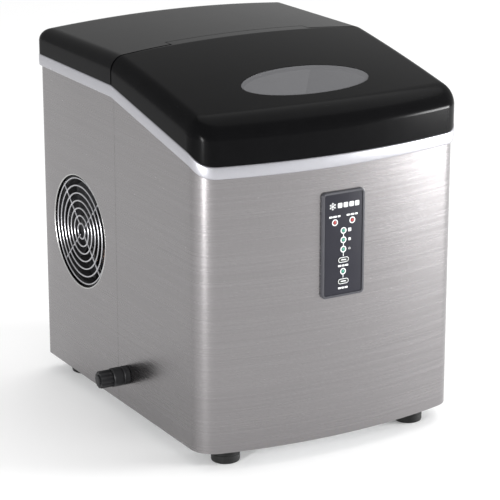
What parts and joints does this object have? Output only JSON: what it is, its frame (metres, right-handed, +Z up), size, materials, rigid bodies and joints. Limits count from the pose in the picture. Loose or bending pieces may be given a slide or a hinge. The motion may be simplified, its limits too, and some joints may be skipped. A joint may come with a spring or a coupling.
{
  "type": "ice maker",
  "caption": "Free-standing countertop bullet-ice maker with a bowed steel casing, a hinged black lid with an oval window, a front button panel, a side fan opening and a drain.",
  "frame": {"origin": "on the floor, under the middle of the casing's outline", "axes": "+X to the right seen from the front, +Y to the rear, +Z up"},
  "size_m": [0.3219, 0.3644, 0.3765],
  "materials": {
    "brushed_steel": "horizontal brushed grain, satin",
    "silver_trim": "silver painted, satin",
    "black_gloss": "glossy black",
    "black_matte": "fine matte",
    "window": "smoked translucent",
    "panel_dark": "satin charcoal",
    "red_lamp": "red lens",
    "green_lamp": "green lens",
    "rubber": "matte rubber",
    "steel_plain": "plain zinc",
    "wire": "bright wire",
    "galvanised": "galvanised sheet",
    "aluminium": "thin bright fins",
    "copper": "copper tube",
    "brass_valve": "valve body and coil",
    "black_enamel": "black enamel",
    "board_green": "solder mask",
    "tank_white": "moulded white",
    "foam": "rigid foam",
    "basket_silver": "moulded silver-grey",
    "nickel": "nickel plated",
    "tray_clear": "frosted",
    "hose_grey": "silicone hose",
    "seal_red": "seal rubber"
  },
  "bodies": {
    "cabinet": {"front_casing": "brushed_steel", "rear_casing": "brushed_steel", "base_plate": "galvanised", "feet": "rubber", "foot_screws": "steel_plain", "trim_band": "silver_trim", "top_deck": "black_matte", "hinge_pins": "steel_plain", "rear_cover": "black_gloss", "cover_screws": "steel_plain", "panel_bezel": "panel_dark", "panel_fascia": "panel_dark", "red_lamps": "red_lamp", "green_lamps": "green_lamp", "display_board": "board_green", "fan_guard": "wire", "guard_screws": "steel_plain", "fan_frame": "black_matte", "fan_motor": "black_matte", "condenser_fins": "aluminium", "condenser_tube": "copper", "compressor": "black_enamel", "compressor_grommets": "rubber", "compressor_bolts": "steel_plain", "terminal_cover": "black_matte", "discharge_pipe": "copper", "suction_pipe": "copper", "hot_gas_valve": "brass_valve", "filter_drier": "copper", "main_board": "board_green", "board_posts": "tank_white", "power_inlet": "black_matte", "drain_spigot": "black_matte", "drain_nut": "black_matte", "drain_hose": "hose_grey", "inner_tank": "tank_white", "tank_rails": "tank_white", "tank_foam": "foam", "works_frame": "black_matte", "evaporator": "nickel", "tray_motor": "black_matte", "ice_chute": "black_matte", "water_pump": "black_matte", "fill_hose": "hose_grey", "level_stem": "tank_white", "ice_sensors": "black_matte"},
    "lid": {"lid": "black_gloss", "lid_window": "window"},
    "fan": {"fan_rotor": "black_matte"},
    "select_button": {"select_button": "panel_dark"},
    "power_button": {"power_button": "panel_dark"},
    "drain_seal": {"drain_seal": "seal_red"},
    "drain_cap": {"drain_cap": "black_matte"},
    "tray": {"water_tray": "tray_clear", "tray_shafts": "steel_plain"},
    "basket": {"ice_basket": "basket_silver"},
    "float": {"level_float": "tank_white"},
    "impeller": {"pump_impeller": "tank_white"}
  },
  "joints": [
    {"name": "lid_hinge", "type": "hinge", "parent": "cabinet", "child": "lid", "pos_m": [0, 0.0085, 0.3685], "axis": [-1, 0, 0], "range_deg": [0, 75]},
    {"name": "fan_spin", "type": "hinge", "parent": "cabinet", "child": "fan", "pos_m": [-0.125, 0.09225, 0.173], "axis": [1, 0, 0], "continuous": true},
    {"name": "select_button_press", "type": "slide", "parent": "cabinet", "child": "select_button", "axis": [0, 1, 0], "range_m": [0, 0.0008], "stiffness_N_per_m": 300, "springref_m": -0.0008},
    {"name": "power_button_press", "type": "slide", "parent": "cabinet", "child": "power_button", "axis": [0, 1, 0], "range_m": [0, 0.0008], "stiffness_N_per_m": 300, "springref_m": -0.0008},
    {"name": "drain_cap_travel", "type": "slide", "parent": "cabinet", "child": "drain_seal", "axis": [-1, 0, 0], "range_m": [0, 0.0041]},
    {"name": "drain_cap_turn", "type": "hinge", "parent": "drain_seal", "child": "drain_cap", "pos_m": [-0.168, -0.009, 0.051], "axis": [-1, 0, 0], "range_deg": [0, 720]},
    {"name": "tray_tilt", "type": "hinge", "parent": "cabinet", "child": "tray", "pos_m": [0, -0.03, 0.275], "axis": [1, 0, 0], "range_deg": [0, 85]},
    {"name": "basket_lift", "type": "slide", "parent": "cabinet", "child": "basket", "axis": [0, 0, 1], "range_m": [0, 0.04]},
    {"name": "float_rise", "type": "slide", "parent": "cabinet", "child": "float", "axis": [0, 0, 1], "range_m": [0, 0.018]},
    {"name": "impeller_spin", "type": "hinge", "parent": "cabinet", "child": "impeller", "pos_m": [-0.042, 0.03, 0.049], "axis": [0, 1, 0], "continuous": true}
  ],
  "couplings": [
    {"joint": "drain_cap_travel", "follows": "drain_cap_turn", "m_per_rad": 0.00031831}
  ]
}
